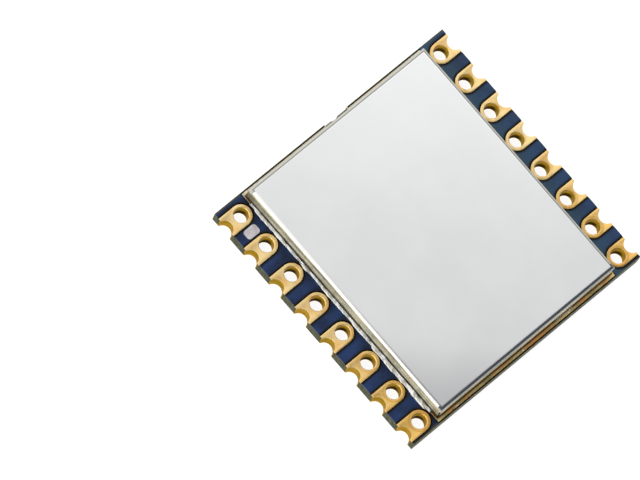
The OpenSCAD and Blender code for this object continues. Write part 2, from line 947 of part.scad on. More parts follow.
// The fillet's hollow face is an arc from the ring's edge to the wall
fillet_r = 0.26;
fillet_chord = sqrt(pow(ring_side, 2) + pow(fillet_h, 2));
fillet_sag = sqrt(pow(fillet_r, 2) - pow(fillet_chord / 2, 2));
fillet_bulge_x = ring_side / 2 + fillet_sag * fillet_h / fillet_chord;
fillet_bulge_h = -fillet_h / 2 + fillet_sag * ring_side / fillet_chord;

// The +Y slot is full of solder around its tab, and the -Y slot holds a spot at one end of its tab
module tab_solder() {
    color("#ccd0d3") {
        difference() {
            slab(slot_solder_z, slot_solder_h)
                intersection() {
                    slot_b_2d();
                    board_2d();
                }
            translate([tab_b_x - tab_w / 2, wall_y - sheet_t / 2, -over])
                cube([tab_w, sheet_t, 2 * z_land]);
            translate([tab_b_x, board_l / 2 + dip_out, -over])
                cylinder(r = dip_r, h = z_land);
        }
        slab(slot_solder_z + tab_clear, slot_solder_h)
            intersection() {
                slot_a_2d();
                translate([tab_a_x - tab_w / 2 - slot_spot_w, -board_l / 2])
                    square([slot_spot_w, board_l / 2]);
            }
    }
}

module first_terminal_mark() {
    color("#e8e2e2")
        translate([hole_x(1) - mark_out, (hole_y(1) + hole_y(2)) / 2, 0])
            slab(z_top + mask_face, ink_t)
                round_rect(mark_l, mark_w, mark_r);
}

module table_2d() {
    row = table_l / table_rows;
    for (k = [0:table_rows])
        translate([table_x - line_w / 2, table_y + k * row - line_w / 2])
            square([table_w + line_w, line_w]);
    for (x = [0, table_col, table_w])
        translate([table_x + x - line_w / 2, table_y - line_w / 2])
            square([line_w, table_l + line_w]);
}

// The ink fills the dips in the mask where no copper lies under it
module underside_table() {
    color("#dfeaea")
        difference() {
            slab(z_under - mask_face - ink_t, foil_t + ink_t)
                table_2d();
            slab(z_under - mask_face, mask_face)
                raised_2d();
        }
}

circuit_board();
top_solder_mask();
bottom_solder_mask();
ground_plane();
signal_traces();
signal_vias();
ground_vias();
ground_ring();
for (i = [1:2 * per_side])
    terminal(i);
component_lands();
component_solder();
radio_chip();
chip_leads();
crystal_base();
crystal_lid();
antenna_switch();
switch_leads();
capacitor_bodies();
capacitor_ends();
resistor_bodies();
resistor_ends();
inductor_bodies();
inductor_ends();
shield_can();
can_solder();
tab_solder();
first_terminal_mark();
underside_table();
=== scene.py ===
import json
import math

import bpy
from mathutils import Matrix, Vector


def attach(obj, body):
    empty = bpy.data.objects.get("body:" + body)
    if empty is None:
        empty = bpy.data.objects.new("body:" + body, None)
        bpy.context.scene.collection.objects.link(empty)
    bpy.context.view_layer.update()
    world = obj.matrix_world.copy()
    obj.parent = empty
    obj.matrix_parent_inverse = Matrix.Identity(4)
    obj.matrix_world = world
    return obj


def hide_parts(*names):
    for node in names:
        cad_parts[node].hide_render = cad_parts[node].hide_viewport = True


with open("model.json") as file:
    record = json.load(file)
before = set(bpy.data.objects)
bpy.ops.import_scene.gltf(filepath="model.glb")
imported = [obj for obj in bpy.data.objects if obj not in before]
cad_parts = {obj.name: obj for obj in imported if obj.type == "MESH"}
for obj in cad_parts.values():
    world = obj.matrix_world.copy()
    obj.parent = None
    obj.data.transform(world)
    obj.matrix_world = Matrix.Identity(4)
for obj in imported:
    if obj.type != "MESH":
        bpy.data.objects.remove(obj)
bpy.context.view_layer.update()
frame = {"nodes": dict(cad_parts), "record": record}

# Lengths below are in millimetres, as in the part's source, and MM turns them into metres
MM = 0.001
PITCH = 2.0
PER_SIDE = 8
ROW_X = (-6.84, 6.96)
FIRST_Y = 6.92
BOARD_HALF = 7.85
UNDERSIDE_Z = 0.07
LAMINATE_TOP_Z = 1.07
THIN_MASK_Z = 0.05
LAND_Z = 1.14
LAND_HALF_W = 0.6
CAN_X = 0.03
CAN_HALF_W = 6.025
CAN_HALF_L = 7.55
CAN_TOP_Z = 2.54
NUMBER_X = (-4.9, 5.0)
NUMBER_HEIGHT = 0.9
TABLE_X = -1.4
TABLE_START_Y = -5.09
TABLE_ROW = 1.5
TABLE_ROWS = 5
TABLE_NUMBER_HEIGHT = 0.95


# Camera

def aim_camera():
    """Stands the camera high over the module, turned about its own axis as in the photo."""
    azimuth, elevation, roll = (math.radians(a) for a in (-70.24, 73.38, 30.06))
    pixels_per_mm, distance = 19.366, 373.0
    off_right, off_up = 5.434, -0.038
    picture_width = 640
    level = math.cos(elevation)
    away = Vector((-math.sin(azimuth) * level, math.cos(azimuth) * level, -math.sin(elevation)))
    level_right = Vector((math.cos(azimuth), math.sin(azimuth), 0))
    level_up = level_right.cross(away)
    right = math.cos(roll) * level_right + math.sin(roll) * level_up
    up = math.cos(roll) * level_up - math.sin(roll) * level_right
    data = bpy.data.cameras.new("photo_camera")
    camera = bpy.data.objects.new("photo_camera", data)
    bpy.context.scene.collection.objects.link(camera)
    data.sensor_width = 36
    data.lens = pixels_per_mm * distance * data.sensor_width / picture_width
    data.shift_x = -off_right * pixels_per_mm / picture_width
    data.shift_y = -off_up * pixels_per_mm / picture_width
    data.clip_start, data.clip_end = 0.01, 10
    turn = Matrix((right, up, -away)).transposed().to_4x4()
    camera.matrix_world = Matrix.Translation(-away * distance * MM) @ turn
    bpy.context.scene.camera = camera


aim_camera()


# Shared effects for the finishes

class Wiring:
    """Adds nodes to one tree and joins them."""

    def __init__(self, tree):
        self.tree = tree

    def node(self, kind, **settings):
        made = self.tree.nodes.new(kind)
        for key, value in settings.items():
            setattr(made, key, value)
        return made

    def feed(self, socket, value):
        if isinstance(value, bpy.types.NodeSocket):
            self.tree.links.new(value, socket)
        elif isinstance(value, tuple) and socket.type == "RGBA":
            socket.default_value = (*value, 1)
        else:
            socket.default_value = value

    def maths(self, operation, a, b=0.0):
        made = self.node("ShaderNodeMath", operation=operation)
        self.feed(made.inputs[0], a)
        self.feed(made.inputs[1], b)
        return made.outputs[0]

    def times(self, a, b):
        return self.maths("MULTIPLY", a, b)

    def plus(self, a, b):
        return self.maths("ADD", a, b)

    def minus(self, a, b):
        return self.maths("SUBTRACT", a, b)

    def magnitude(self, a):
        return self.maths("ABSOLUTE", a)

    def distance(self, across, along):
        return self.maths("SQRT", self.plus(self.times(across, across), self.times(along, along)))

    def noise(self, vector, scale, detail=3.0):
        made = self.node("ShaderNodeTexNoise")
        self.feed(made.inputs["Vector"], vector)
        self.feed(made.inputs["Scale"], scale)
        self.feed(made.inputs["Detail"], detail)
        return made.outputs["Fac"]

    def stretch(self, vector, amounts):
        made = self.node("ShaderNodeVectorMath", operation="MULTIPLY")
        self.feed(made.inputs[0], vector)
        self.feed(made.inputs[1], amounts)
        return made.outputs[0]

    def remap(self, value, low, high, to_low=0.0, to_high=1.0, smooth=False):
        made = self.node("ShaderNodeMapRange", interpolation_type="SMOOTHSTEP" if smooth else "LINEAR")
        names = ("Value", "From Min", "From Max", "To Min", "To Max")
        for name, number in zip(names, (value, low, high, to_low, to_high)):
            self.feed(made.inputs[name], number)
        return made.outputs["Result"]

    def blend(self, mask, a, b):
        made = self.node("ShaderNodeMix", data_type="RGBA")
        colours = [s for s in made.inputs if s.type == "RGBA"]
        self.feed(made.inputs[0], mask)
        self.feed(colours[0], a)
        self.feed(colours[1], b)
        return [s for s in made.outputs if s.type == "RGBA"][0]

    def mix(self, mask, a, b):
        made = self.node("ShaderNodeMix", data_type="FLOAT")
        for socket, value in zip((made.inputs[0], made.inputs[2], made.inputs[3]), (mask, a, b)):
            self.feed(socket, value)
        return made.outputs[0]

    def axes_of(self, vector):
        """The x, y and z of a place or a direction."""
        made = self.node("ShaderNodeSeparateXYZ")
        self.feed(made.inputs[0], vector)
        return made.outputs


def effect(name, inputs, outputs):
    """Starts a node group with named sockets, and gives its tree, its way in and its way out."""
    tree = bpy.data.node_groups.new(name, "ShaderNodeTree")
    for label, kind, value in inputs:
        socket = tree.interface.new_socket(name=label, in_out="INPUT", socket_type=kind)
        if value is not None:
            socket.default_value = value
    for label, kind in outputs:
        tree.interface.new_socket(name=label, in_out="OUTPUT", socket_type=kind)
    wiring = Wiring(tree)
    return wiring, wiring.node("NodeGroupInput").outputs, wiring.node("NodeGroupOutput").inputs


NUMBER, VECTOR = "NodeSocketFloat", "NodeSocketVector"


def make_patches():
    """Soft-edged patches of a given size, as a mask."""
    wiring, given, result = effect(
        "patches",
        [("Place", VECTOR, None), ("Per mm", NUMBER, 1.0), ("From", NUMBER, 0.4), ("To", NUMBER, 0.6)],
        [("Mask", NUMBER)],
    )
    spots = wiring.noise(given["Place"], given["Per mm"], 4.0)
    wiring.feed(result["Mask"], wiring.remap(spots, given["From"], given["To"], smooth=True))
    return wiring.tree


def make_grain():
    """Fine unevenness at two sizes, as a height."""
    wiring, given, result = effect(
        "grain",
        [
            ("Place", VECTOR, None),
            ("Coarse per mm", NUMBER, 2.0),
            ("Fine per mm", NUMBER, 12.0),
            ("Fine share", NUMBER, 0.4),
        ],
        [("Height", NUMBER)],
    )
    coarse = wiring.noise(given["Place"], given["Coarse per mm"], 2.0)
    fine = wiring.noise(given["Place"], given["Fine per mm"], 2.0)
    wiring.feed(result["Height"], wiring.plus(coarse, wiring.times(fine, given["Fine share"])))
    return wiring.tree


def make_layers():
    """Glass cloth pressed in resin, seen on a cut edge: layers of bundles, and the marks of the cutter."""
    wiring, given, result = effect(
        "layers",
        [("Place", VECTOR, None), ("Layers per mm", NUMBER, 6.0)],
        [("Fibre", NUMBER), ("Cutter", NUMBER)],
    )
    sway = wiring.noise(wiring.stretch(given["Place"], (1.2, 1.2, 0.5)), 1.0, 2.0)
    depth = wiring.plus(wiring.axes_of(given["Place"])[2], wiring.times(sway, 0.12))
    wave = wiring.maths("SINE", wiring.times(depth, wiring.times(given["Layers per mm"], 2 * math.pi)))
    bundles = wiring.noise(wiring.stretch(given["Place"], (5.0, 5.0, 14.0)), 1.0, 3.0)
    both = wiring.plus(wiring.times(wave, 0.11), bundles)
    wiring.feed(result["Fibre"], wiring.remap(both, 0.3, 0.75, smooth=True))
    wiring.feed(result["Cutter"], wiring.noise(wiring.stretch(given["Place"], (9.0, 9.0, 0.8)), 1.0, 3.0))
    return wiring.tree


PATCHES, GRAIN, LAYERS = make_patches(), make_grain(), make_layers()


class Finish(Wiring):
    """One material: its shader, and the place on the piece in millimetres."""

    def __init__(self, name, metal=0.0, **fixed):
        self.material = bpy.data.materials.new(name)
        self.material.use_nodes = True
        super().__init__(self.material.node_tree)
        self.tree.nodes.clear()
        self.shader = self.node("ShaderNodeBsdfPrincipled")
        out = self.node("ShaderNodeOutputMaterial")
        self.feed(out.inputs["Surface"], self.shader.outputs[0])
        self.set(Metallic=metal)
        for key, value in fixed.items():
            self.shader.inputs[key.replace("_", " ")].default_value = value
        scaled = self.node("ShaderNodeVectorMath", operation="SCALE")
        scaled.inputs["Scale"].default_value = 1 / MM
        self.feed(scaled.inputs[0], self.node("ShaderNodeTexCoord").outputs["Object"])
        self.place = scaled.outputs[0]
        self.x, self.y, self.z = self.axes_of(self.place)

    def set(self, **values):
        for key, value in values.items():
            self.feed(self.shader.inputs[key.replace("_", " ")], value)

    def use(self, group, **values):
        made = self.node("ShaderNodeGroup")
        made.node_tree = group
        self.feed(made.inputs["Place"], values.pop("Place", self.place))
        for key, value in values.items():
            self.feed(made.inputs[key.replace("_", " ")], value)
        return made.outputs

    def bump(self, height, microns):
        made = self.node("ShaderNodeBump")
        made.inputs["Distance"].default_value = microns * 1e-6
        self.feed(made.inputs["Height"], height)
        self.feed(self.shader.inputs["Normal"], made.outputs[0])


def can_finish():
    """Bare nickel silver: satin on the flat with painted shade toward its -X, -Y side, walls streaked in
    drawing and tinted as painted reflections of the pads and the ring, painted shade low on the walls, and
    painted highlights and painted dark reflection lines at the folds.
    """
    f = Finish("can_metal", Specular_IOR_Level=0.1)
    clouds = f.use(PATCHES, Per_mm=0.3, From=0.25, To=0.8)["Mask"]
    flat = f.blend(clouds, (0.80, 0.805, 0.81), (0.86, 0.865, 0.865))
    # painted shade: the flat top darkens toward its -X, -Y side, standing in for the light falling off across
    # it
    painted_corner_shade = f.remap(f.plus(f.x, f.y), -13.0, -7.4, 0.38, 0.0, smooth=True)
    flat = f.blend(painted_corner_shade, flat, (0.30, 0.30, 0.32))

    end = f.maths("GREATER_THAN", f.magnitude(f.y), CAN_HALF_L - 0.3)
    front = f.maths("LESS_THAN", f.y, 0.3 - CAN_HALF_L)
    left = f.maths("LESS_THAN", f.x, CAN_X - CAN_HALF_W + 0.25)
    left = f.times(left, f.minus(1.0, end))

    # streaks from drawing, coloured from olive to pale yellow as a painted reflection of the gold pads beside
    # the walls
    drawn_streaks_and_pad_reflection = f.noise(f.stretch(f.place, (0.25, 0.25, 3.6)), 1.0)
    wall = f.blend(f.remap(drawn_streaks_and_pad_reflection, 0.36, 0.62, smooth=True), (0.40, 0.37, 0.24), (0.98, 0.94, 0.68))
    # painted shade: a dark band low on the walls, where they meet the board
    painted_foot_shade = f.remap(f.z, LAND_Z + 0.24, LAND_Z + 0.42, 1.0, 0.0, smooth=True)
    wall = f.blend(f.times(painted_foot_shade, 0.85), wall, (0.05, 0.045, 0.03))
    # painted reflection: the end walls turn dark red-brown low down, standing in for the stained ring
    # mirrored in them
    low = f.remap(f.z, LAND_Z + 0.05, LAND_Z + 0.5, 0.7, 0.0, smooth=True)
    wall = f.blend(f.times(end, low), wall, (0.10, 0.05, 0.03))

    # painted reflection on the folds: pale just under the top, darker below
    crest = f.remap(f.z, CAN_TOP_Z - 0.035, CAN_TOP_Z - 0.02)
    painted_fold_light = f.blend(crest, (0.52, 0.52, 0.48), (0.22, 0.22, 0.17))
    # painted reflection: a dark blue-grey line along the front folded edge
    line = f.times(front, f.remap(f.z, CAN_TOP_Z - 0.11, CAN_TOP_Z - 0.08))
    painted_fold_light = f.blend(line, painted_fold_light, (0.10, 0.115, 0.14))
    # painted highlight: the folded edge on the -X side is near white
    painted_fold_light = f.blend(left, painted_fold_light, (0.94, 0.93, 0.90))
    lowered = f.plus(f.z, f.times(left, -0.07))
    rolled = f.remap(lowered, CAN_TOP_Z - 0.24, CAN_TOP_Z - 0.16, smooth=True)

    upper = f.remap(f.z, CAN_TOP_Z - 0.05, CAN_TOP_Z - 0.005, smooth=True)
    upper = f.times(upper, f.remap(f.z, CAN_TOP_Z - 0.014, CAN_TOP_Z - 0.004))
    f.set(Base_Color=f.blend(upper, f.blend(rolled, wall, painted_fold_light), flat))
    streaks = f.noise(f.stretch(f.place, (9.0, 0.5, 0.5)), 1.0)
    satin = f.plus(f.remap(clouds, 0, 1, 0.42, 0.48), f.times(streaks, 0.04))
    worn = f.remap(f.noise(f.place, 1.6), 0.3, 0.7, 0.24, 0.36)
    f.set(Roughness=f.mix(upper, worn, satin))
    # the -X folded edge is mostly not metal, so that its painted highlight stays white
    f.set(Metallic=f.mix(upper, f.mix(rolled, 0.55, f.mix(left, 0.15, 0.8)), 1.0))
    f.bump(f.use(GRAIN, Coarse_per_mm=0.35, Fine_per_mm=9.0, Fine_share=0.05)["Height"], 5)
    return f.material


def from_terminal(f):
    """How far a point lies from its row of holes, outwards, and along the row from the nearest hole."""
    out = f.minus(f.magnitude(f.minus(f.x, sum(ROW_X) / 2)), (ROW_X[1] - ROW_X[0]) / 2)
    along = f.maths("FLOORED_MODULO", f.minus(f.y, FIRST_Y - PITCH / 2), PITCH)
    return out, f.minus(along, PITCH / 2)


def in_hole(f):
    """Where painted shade goes on the wall of a hole, most where it faces the near edge of the board."""
    out, along = from_terminal(f)
    inside = f.maths("LESS_THAN", f.distance(out, along), 0.47)
    return f.times(inside, f.remap(along, -0.20, 0.15, 0.15, 1.0, smooth=True))


def gold_finish():
    """Thin gold over nickel, pebbled by the copper below, redder where it is thin, with painted light paler
    toward +Y, a painted highlight along the lands' outer edges, and tarnish with painted shade on the walls
    of holes and notches, near black deep in the holes.
    """
    f = Finish("gold_plate", Specular_IOR_Level=0.0, Specular_Tint=(0.55, 0.44, 0.24, 1.0))
    thin = f.use(PATCHES, Per_mm=1.3, From=0.46, To=0.66)["Mask"]
    spots = f.use(PATCHES, Per_mm=6.0, From=0.58, To=0.75)["Mask"]
    # painted light: the gold turns paler and yellower toward +Y and deeper orange toward -Y, as the light
    # falls across the module
    painted_light_toward_plus_y = f.remap(f.y, -7.0, 1.0, smooth=True)
    tone = f.blend(painted_light_toward_plus_y, (0.93, 0.58, 0.17), (0.98, 0.73, 0.34))
    tone = f.blend(f.times(thin, 0.75), tone, (0.88, 0.50, 0.15))
    tone = f.blend(f.times(spots, 0.4), tone, (1.0, 0.84, 0.56))
    out, along = from_terminal(f)
    reach = f.distance(out, along)
    # a darker orange ring round each hole, faded out where the painted light is strongest
    ring = f.remap(f.magnitude(f.minus(reach, 0.53)), 0.03, 0.08, 0.55, 0.0, smooth=True)
    tone = f.blend(f.times(ring, f.minus(1.0, painted_light_toward_plus_y)), tone, (0.62, 0.33, 0.06))
    # painted highlight: a pale line along the rounded outer edge of each land
    painted_rim_highlight = f.remap(f.z, LAND_Z - 0.03, LAND_Z - 0.008, 0.85, 0.0, smooth=True)
    painted_rim_highlight = f.times(painted_rim_highlight, f.maths("GREATER_THAN", reach, 0.5))
    tone = f.blend(painted_rim_highlight, tone, (1.0, 0.90, 0.62))

    flat = f.remap(f.z, LAND_Z - 0.10, LAND_Z - 0.045, smooth=True)
    sunk = f.times(f.remap(f.z, 0.03, 0.09), f.minus(1.0, flat))
    # the walls of holes and notches: darker olive brown, partly tarnish and partly painted shade in these
    # recesses
    worn = f.use(PATCHES, Per_mm=2.2, From=0.35, To=0.7)["Mask"]
    dull = f.blend(worn, (0.40, 0.28, 0.07), (0.60, 0.38, 0.11))
    # painted shade: near black deep in each hole, and not metal there
    black = f.times(in_hole(f), f.remap(f.z, LAND_Z - 0.75, LAND_Z - 0.30, 1.0, 0.0, smooth=True))
    dull = f.blend(f.times(black, 0.9), dull, (0.05, 0.03, 0.01))
    f.set(Base_Color=f.blend(sunk, tone, dull))
    f.set(Metallic=f.mix(sunk, 0.5, f.mix(black, 1.0, 0.0)))
    f.set(Roughness=f.remap(f.noise(f.place, 3.0), 0.3, 0.7, 0.26, 0.42))
    f.bump(f.use(GRAIN, Coarse_per_mm=2.4, Fine_per_mm=14.0, Fine_share=0.2)["Height"], 9)
    return f.material


def ring_finish():
    """The same plating round the can, stained by flux: olive to brown, with orange and bright glints, and a
    painted contact shadow just outside the can.
    """
    f = Finish("stained_gold", metal=1.0)
    flux = f.use(PATCHES, Per_mm=0.9, From=0.35, To=0.7)["Mask"]
    orange = f.use(PATCHES, Per_mm=1.2, From=0.46, To=0.62)["Mask"]
    glints = f.use(PATCHES, Per_mm=5.0, From=0.6, To=0.72)["Mask"]
    tone = f.blend(flux, (0.52, 0.42, 0.17), (0.95, 0.74, 0.34))
    tone = f.blend(f.times(orange, 0.85), tone, (0.96, 0.44, 0.13))
    grey = f.times(f.remap(f.y, -2.0, 6.0), 0.8)
    tone = f.blend(grey, tone, (0.56, 0.55, 0.46))
    tone = f.blend(f.times(glints, 0.6), tone, (0.95, 0.85, 0.60))
    beside = f.minus(f.magnitude(f.minus(f.x, CAN_X)), CAN_HALF_W)
    beyond = f.minus(f.magnitude(f.y), CAN_HALF_L)
    # painted shadow: dark brown just outside the can's outline, where the can stands on the ring
    painted_contact_shadow = f.remap(f.maths("MAXIMUM", beside, beyond), 0.03, 0.10, 0.85, 0.0, smooth=True)
    f.set(Base_Color=f.blend(painted_contact_shadow, tone, (0.10, 0.03, 0.015)))
    f.set(Roughness=f.mix(glints, 0.5, 0.25))
    f.bump(f.use(GRAIN, Coarse_per_mm=3.0, Fine_per_mm=12.0, Fine_share=0.4)["Height"], 16)
    return f.material


def mask_finish(name, open_tone, copper_tone, over_copper, far_tone=None):
    """Liquid solder mask, clearer over laminate and brighter where copper lies under it.
    far_tone is what it turns to between the can and the far row of terminals."""
    f = Finish(name, IOR=1.45, Specular_IOR_Level=0.28)
    covered = over_copper(f)
    weave = f.noise(f.stretch(f.place, (2.4, 2.4, 0.0)), 1.0, 2.0)
    cross = f.times(f.maths("SINE", f.times(f.x, 13.0)), f.maths("SINE", f.times(f.y, 13.0)))
    cloth = f.plus(f.times(cross, 0.12), weave)
    dark = tuple(c * 0.7 for c in open_tone)
    open_colour = f.blend(f.remap(cloth, 0.3, 0.7), dark, open_tone)
    bright = tuple(min(1.0, c * 1.2) for c in copper_tone)
    copper_colour = f.blend(f.use(PATCHES, Per_mm=1.1, From=0.3, To=0.75)["Mask"], copper_tone, bright)
    tone = f.blend(covered, open_colour, copper_colour)
    ends = f.remap(f.magnitude(f.y), BOARD_HALF - 0.11, BOARD_HALF - 0.08)
    tone = f.blend(ends, tone, (0.075, 0.07, 0.03))
    if far_tone:
        far = f.times(f.remap(f.x, 5.6, 6.1), f.remap(f.x, 6.3, 7.3, 0.75, 0.25))
        tone = f.blend(far, tone, far_tone)
    # the band round the lands: partly bare dark resin, partly painted shade
    f.set(Base_Color=f.blend(f.times(beside_pads(f), 0.9), tone, (0.002, 0.003, 0.006)))
    f.set(Roughness=f.remap(f.noise(f.place, 1.4), 0.3, 0.7, 0.20, 0.32))
    f.bump(f.use(GRAIN, Coarse_per_mm=1.2, Fine_per_mm=7.0, Fine_share=0.2)["Height"], 5)
    return f.material


def beside_pads(f):
    """A thin band round the terminals' lands, near black: the film runs out there over dark resin, and
    painted shade darkens it further.
    """
    out, along = from_terminal(f)
    reach = f.distance(f.maths("MINIMUM", out, 0.0), along)
    return f.remap(reach, LAND_HALF_W + 0.08, LAND_HALF_W + 0.17, 1.0, 0.0, smooth=True)


def above_copper(f):
    """The underside's film stands lower where the copper plane lies above it."""
    return f.remap(f.z, 0.022, 0.034, 1.0, 0.0)


def between_pads(f):
    """Copper shows through the film in the middle of each gap between two terminals."""
    along = f.maths("FLOORED_MODULO", f.minus(f.y, FIRST_Y), PITCH)
    mid = f.remap(f.magnitude(f.minus(along, PITCH / 2)), 0.12, 0.42, 1.0, 0.0, smooth=True)
    patchy = f.use(PATCHES, Per_mm=0.9, From=0.3, To=0.65)["Mask"]
    return f.times(f.times(mid, patchy), 0.9)


def laminate_finish():
    """Glass cloth in resin: olive on the routed edges, nearly black on the faces."""
    f = Finish("laminate_cut", IOR=1.5, Specular_IOR_Level=0.08)
    made = f.use(LAYERS, Layers_per_mm=7.0)
    edge = f.blend(made["Fibre"], (0.020, 0.024, 0.010), (0.12, 0.125, 0.055))
    burnt = f.use(PATCHES, Per_mm=0.8, From=0.45, To=0.75)["Mask"]
    edge = f.blend(f.times(burnt, 0.5), edge, (0.05, 0.045, 0.02))
    ends = f.remap(f.magnitude(f.y), BOARD_HALF - 0.02, BOARD_HALF - 0.005)
    edge = f.blend(ends, edge, f.blend(made["Fibre"], (0.05, 0.052, 0.024), (0.21, 0.205, 0.10)))
    inner = f.remap(f.z, LAMINATE_TOP_Z - 0.03, LAMINATE_TOP_Z - 0.005, 1.0, 0.0)
    inner = f.times(f.remap(f.z, UNDERSIDE_Z + 0.005, UNDERSIDE_Z + 0.03), inner)
    f.set(Base_Color=f.blend(inner, (0.004, 0.006, 0.004), edge))
    f.set(Roughness=f.remap(made["Cutter"], 0.3, 0.7, 0.42, 0.7))
    f.bump(f.plus(made["Cutter"], f.times(made["Fibre"], 0.4)), 18)
    return f.material


def solder_finish():
    """Reflowed solder: bright, with faint frosting."""
    f = Finish("solder_metal", metal=0.6)
    frost = f.use(PATCHES, Per_mm=2.0, From=0.4, To=0.7)["Mask"]
    f.set(Base_Color=f.blend(frost, (1.0, 1.0, 0.99), (0.88, 0.89, 0.90)))
    f.set(Roughness=f.remap(frost, 0, 1, 0.25, 0.42))
    f.bump(f.use(GRAIN, Coarse_per_mm=2.5, Fine_per_mm=14.0, Fine_share=0.1)["Height"], 8)
    return f.material


def copper_finish():
    """Bare copper foil, slightly dulled."""
    f = Finish("copper_foil", metal=1.0)
    dull = f.use(PATCHES, Per_mm=1.5, From=0.35, To=0.7)["Mask"]
    f.set(Base_Color=f.blend(dull, (0.80, 0.42, 0.24), (0.50, 0.25, 0.14)))
    f.set(Roughness=f.remap(dull, 0, 1, 0.26, 0.42))
    f.bump(f.use(GRAIN, Coarse_per_mm=3.0, Fine_per_mm=15.0)["Height"], 6)
    return f.material


def plain_finish(name, low, high, rough, metal=0.0, grain=(4.0, 18.0, 0.5), microns=8, patch=1.5):
    """A moulded, fired or plated surface of two close tones, with its own grain."""
    f = Finish(name, metal=metal)
    mask = f.use(PATCHES, Per_mm=patch, From=0.3, To=0.7)["Mask"]
    f.set(Base_Color=f.blend(mask, low, high))
    f.set(Roughness=f.remap(f.noise(f.place, patch * 2), 0.3, 0.7, rough[0], rough[1]))
    f.bump(f.use(GRAIN, Coarse_per_mm=grain[0], Fine_per_mm=grain[1], Fine_share=grain[2])["Height"], microns)
    return f.material


def floor_finish():
    """White acrylic, lit from below as well."""
    f = Finish("studio_floor")
    f.set(Base_Color=(0.35, 0.35, 0.35), Roughness=0.9, Emission_Color=(1.0, 1.0, 1.0), Emission_Strength=0.9)
    return f.material


EPOXY_BLACK = ((0.018, 0.018, 0.020), (0.030, 0.030, 0.033))
LEAD_TIN = ((0.70, 0.70, 0.71), (0.80, 0.80, 0.80))
END_TIN = ((0.70, 0.71, 0.72), (0.82, 0.82, 0.82))
LID_GOLD = ((0.85, 0.66, 0.36), (0.92, 0.76, 0.46))
TAN_CERAMIC = ((0.50, 0.46, 0.36), (0.58, 0.54, 0.44))
BROWN_CERAMIC = ((0.34, 0.22, 0.12), (0.44, 0.30, 0.18))
WHITE_CERAMIC = ((0.66, 0.64, 0.58), (0.76, 0.74, 0.68))
BLACK_GLAZE = ((0.014, 0.014, 0.016), (0.028, 0.028, 0.03))
MARK_INK = ((0.66, 0.60, 0.64), (0.86, 0.82, 0.85))
TABLE_INK = ((0.56, 0.68, 0.70), (0.74, 0.83, 0.84))
# dark solder tones: painted shade for the solder filling the can's tab slots
SHADED_SOLDER_TONES = ((0.09, 0.085, 0.05), (0.24, 0.23, 0.17))
INK_GRAIN = (5.0, 22.0, 0.8)

FINISH = {
    "laminate": laminate_finish(),
    "top_mask": mask_finish(
        "top_mask_film", (0.004, 0.018, 0.075), (0.014, 0.047, 0.165), between_pads, (0.040, 0.105, 0.16)
    ),
    "underside_mask": mask_finish(
        "underside_mask_film", (0.003, 0.022, 0.115), (0.003, 0.095, 0.165), above_copper
    ),
    "copper": copper_finish(),
    "gold_plating": gold_finish(),
    "solder": solder_finish(),
    "chip_moulding": plain_finish("moulded_black", *EPOXY_BLACK, (0.45, 0.62)),
    "tinned_leads": plain_finish("tinned_lead", *LEAD_TIN, (0.25, 0.4), metal=1.0),
    "crystal_ceramic": plain_finish("crystal_ceramic", *TAN_CERAMIC, (0.5, 0.65)),
    "lid_plating": plain_finish("lid_plate", *LID_GOLD, (0.2, 0.32), metal=1.0, microns=5),
    "capacitor_ceramic": plain_finish("capacitor_ceramic", *BROWN_CERAMIC, (0.4, 0.55)),
    "resistor_glaze": plain_finish("resistor_glaze", *BLACK_GLAZE, (0.2, 0.35)),
    "inductor_ceramic": plain_finish("inductor_ceramic", *WHITE_CERAMIC, (0.45, 0.6)),
    "tinned_ends": plain_finish("tinned_end", *END_TIN, (0.22, 0.38), metal=1.0, microns=12),
    "can_sheet": can_finish(),
    "white_ink": plain_finish("white_ink", *MARK_INK, (0.5, 0.7), grain=INK_GRAIN, patch=4.0),
    "pale_ink": plain_finish("pale_ink", *TABLE_INK, (0.5, 0.7), grain=INK_GRAIN, patch=3.0),
}
STAINED = ring_finish()
# the tab slots' solder finish, darkened as painted shade
SHADED_SOLDER = plain_finish("fluxed_solder", *SHADED_SOLDER_TONES, (0.3, 0.45), metal=1.0, microns=14)


# Shaping

def alone(piece):
    """Selects one piece and nothing else."""
    bpy.ops.object.select_all(action="DESELECT")
    piece.select_set(True)
    bpy.context.view_layer.objects.active = piece


def apply_modifier(piece, kind, **settings):
    alone(piece)
    made = piece.modifiers.new(kind.lower(), kind)
    for key, value in settings.items():
        setattr(made, key, value)
    bpy.ops.object.modifier_apply(modifier=made.name)


def dress(piece, slot, nodes=()):
    """Gives a finished piece its place at the origin, its finish, its body and the node it stands for."""
    alone(piece)
    bpy.ops.object.transform_apply(location=True, rotation=True, scale=True)
    piece.data.materials.clear()
    piece.data.materials.append(FINISH[slot])
    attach(piece, "root")
    if nodes:
        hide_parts(*nodes)
    return piece


def merged_copy(node, name):
    """A copy of a node as one clean mesh: merged, and without the edges that its flat faces don't need."""
    source = frame["nodes"][node]
    piece = bpy.data.objects.new(name, source.data.copy())
    piece.data.transform(source.matrix_world)
    bpy.context.scene.collection.objects.link(piece)
    alone(piece)
    bpy.ops.object.mode_set(mode="EDIT")
    bpy.ops.mesh.select_all(action="SELECT")
    bpy.ops.mesh.remove_doubles(threshold=1e-7)
    bpy.ops.mesh.customdata_custom_splitnormals_clear()
    bpy.ops.mesh.dissolve_limited(angle_limit=math.radians(0.6))
    bpy.ops.object.mode_set(mode="OBJECT")
    return piece


